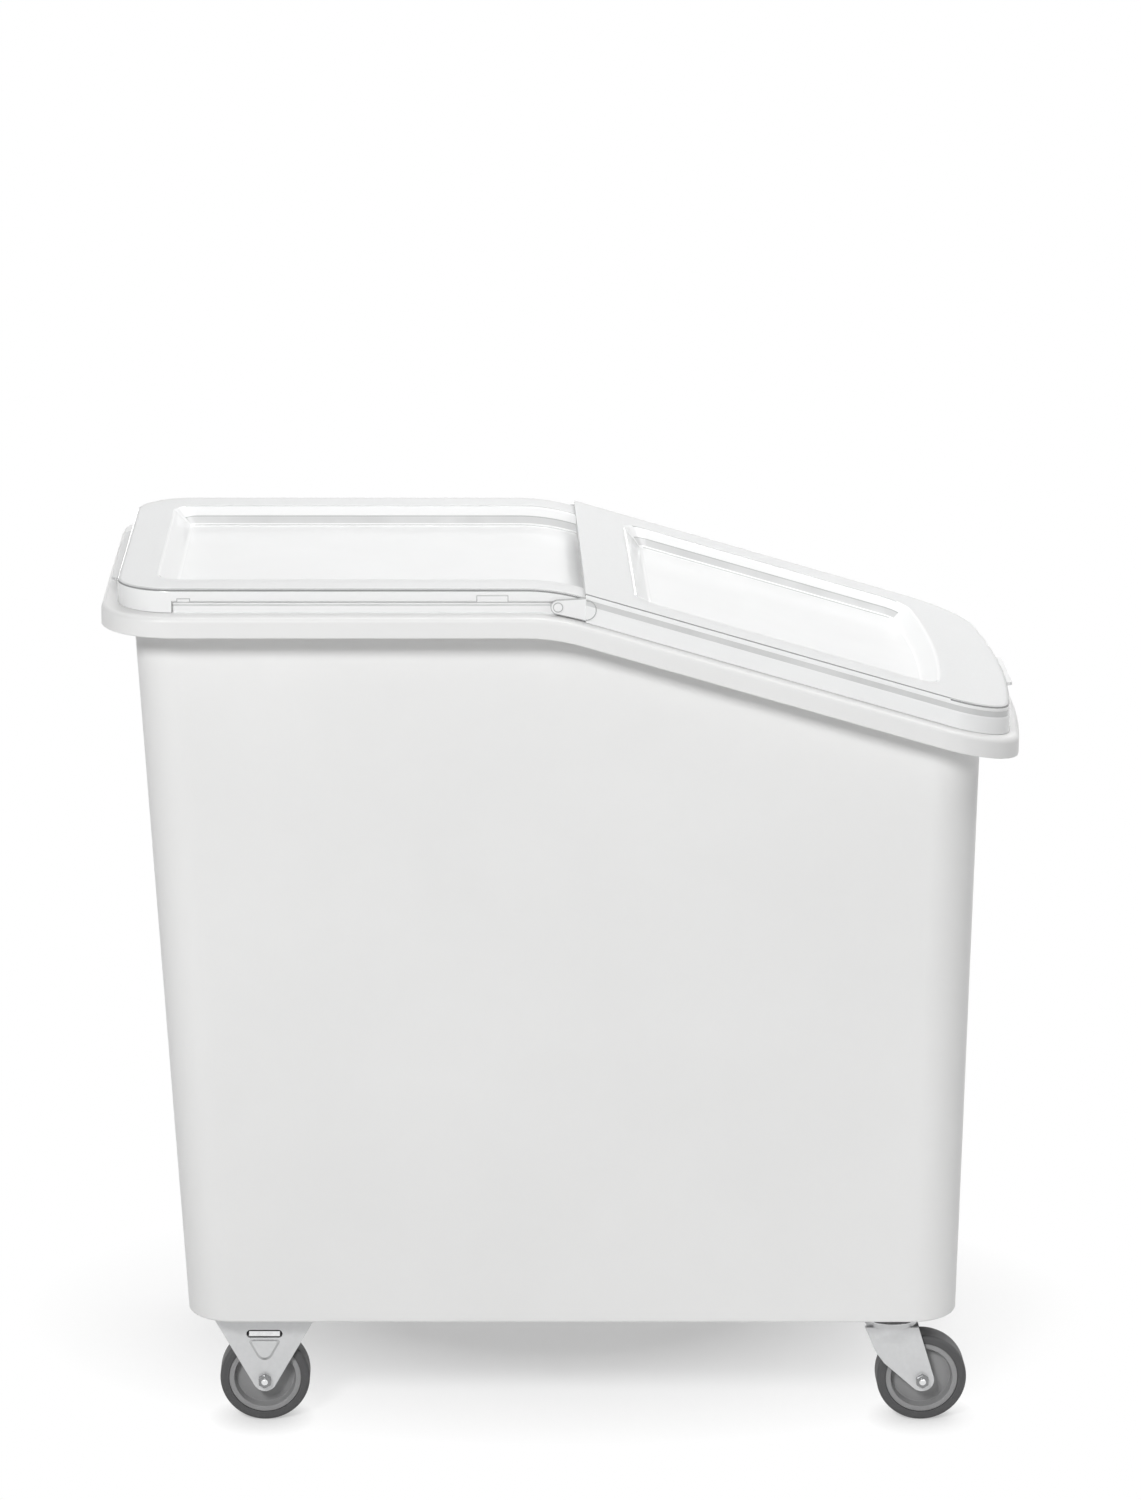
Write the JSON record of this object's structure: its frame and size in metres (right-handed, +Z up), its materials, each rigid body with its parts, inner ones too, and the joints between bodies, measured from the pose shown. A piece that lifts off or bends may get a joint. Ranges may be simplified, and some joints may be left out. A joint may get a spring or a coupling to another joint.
{
  "type": "rolling flour bin",
  "caption": "White moulded ingredient bin with a slant top, a clear flat rear lid, a clear hinged front lid and fixed and swivel casters, for storing flour.",
  "frame": {"origin": "on the floor, under the middle of the rim's length and width", "axes": "+X towards the low sloped front, +Y to the left side, +Z up"},
  "size_m": [0.7474, 0.395, 0.724],
  "materials": {
    "tub_white": "moulded, fine matte",
    "clear_lid": "clear moulded panels with frosted bands",
    "insert_brass": "turned",
    "zinc_sheet": "bright zinc plated",
    "bright_steel": "bright plated",
    "wheel_core": "moulded, satin",
    "tyre_rubber": "non-marking, satin"
  },
  "bodies": {
    "bin": {"bin_tub": "tub_white", "caster_inserts": "insert_brass", "caster_screws": "bright_steel", "rear_left_fork": "zinc_sheet", "rear_left_sleeve": "bright_steel", "rear_left_bolt": "bright_steel", "rear_left_nut": "bright_steel", "rear_right_fork": "zinc_sheet", "rear_right_sleeve": "bright_steel", "rear_right_bolt": "bright_steel", "rear_right_nut": "bright_steel", "front_left_plate": "zinc_sheet", "front_left_kingpin": "bright_steel", "front_left_upper_balls": "bright_steel", "front_left_lower_balls": "bright_steel", "front_left_cup": "zinc_sheet", "front_right_plate": "zinc_sheet", "front_right_kingpin": "bright_steel", "front_right_upper_balls": "bright_steel", "front_right_lower_balls": "bright_steel", "front_right_cup": "zinc_sheet"},
    "rear_lid": {"rear_lid": "clear_lid"},
    "front_lid": {"front_lid": "clear_lid"},
    "rear_left_wheel": {"rear_left_core": "wheel_core", "rear_left_tyre": "tyre_rubber"},
    "rear_right_wheel": {"rear_right_core": "wheel_core", "rear_right_tyre": "tyre_rubber"},
    "front_left_wheel": {"front_left_core": "wheel_core", "front_left_tyre": "tyre_rubber"},
    "front_left_swivel": {"front_left_fork": "zinc_sheet", "front_left_sleeve": "bright_steel", "front_left_bolt": "bright_steel", "front_left_nut": "bright_steel"},
    "front_right_wheel": {"front_right_core": "wheel_core", "front_right_tyre": "tyre_rubber"},
    "front_right_swivel": {"front_right_fork": "zinc_sheet", "front_right_sleeve": "bright_steel", "front_right_bolt": "bright_steel", "front_right_nut": "bright_steel"}
  },
  "joints": [
    {"name": "rear_lid_lift", "type": "slide", "parent": "bin", "child": "rear_lid", "axis": [0, 0, 1], "range_m": [0, 0.12]},
    {"name": "front_lid_hinge", "type": "hinge", "parent": "rear_lid", "child": "front_lid", "pos_m": [-0.0088, 0, 0.7096], "axis": [0, -1, 0], "range_deg": [0, 110]},
    {"name": "rear_left_wheel_spin", "type": "hinge", "parent": "bin", "child": "rear_left_wheel", "pos_m": [-0.2488, 0.122, 0.0375], "axis": [0, 1, 0], "continuous": true},
    {"name": "rear_right_wheel_spin", "type": "hinge", "parent": "bin", "child": "rear_right_wheel", "pos_m": [-0.2488, -0.122, 0.0375], "axis": [0, 1, 0], "continuous": true},
    {"name": "front_left_swivel_turn", "type": "hinge", "parent": "bin", "child": "front_left_swivel", "pos_m": [0.2738, 0.122, 0.101], "axis": [0, 0, 1], "continuous": true},
    {"name": "front_left_wheel_spin", "type": "hinge", "parent": "front_left_swivel", "child": "front_left_wheel", "pos_m": [0.3002, 0.122, 0.0375], "axis": [0, 1, 0], "continuous": true},
    {"name": "front_right_swivel_turn", "type": "hinge", "parent": "bin", "child": "front_right_swivel", "pos_m": [0.2738, -0.122, 0.101], "axis": [0, 0, 1], "continuous": true},
    {"name": "front_right_wheel_spin", "type": "hinge", "parent": "front_right_swivel", "child": "front_right_wheel", "pos_m": [0.3002, -0.122, 0.0375], "axis": [0, 1, 0], "continuous": true}
  ]
}
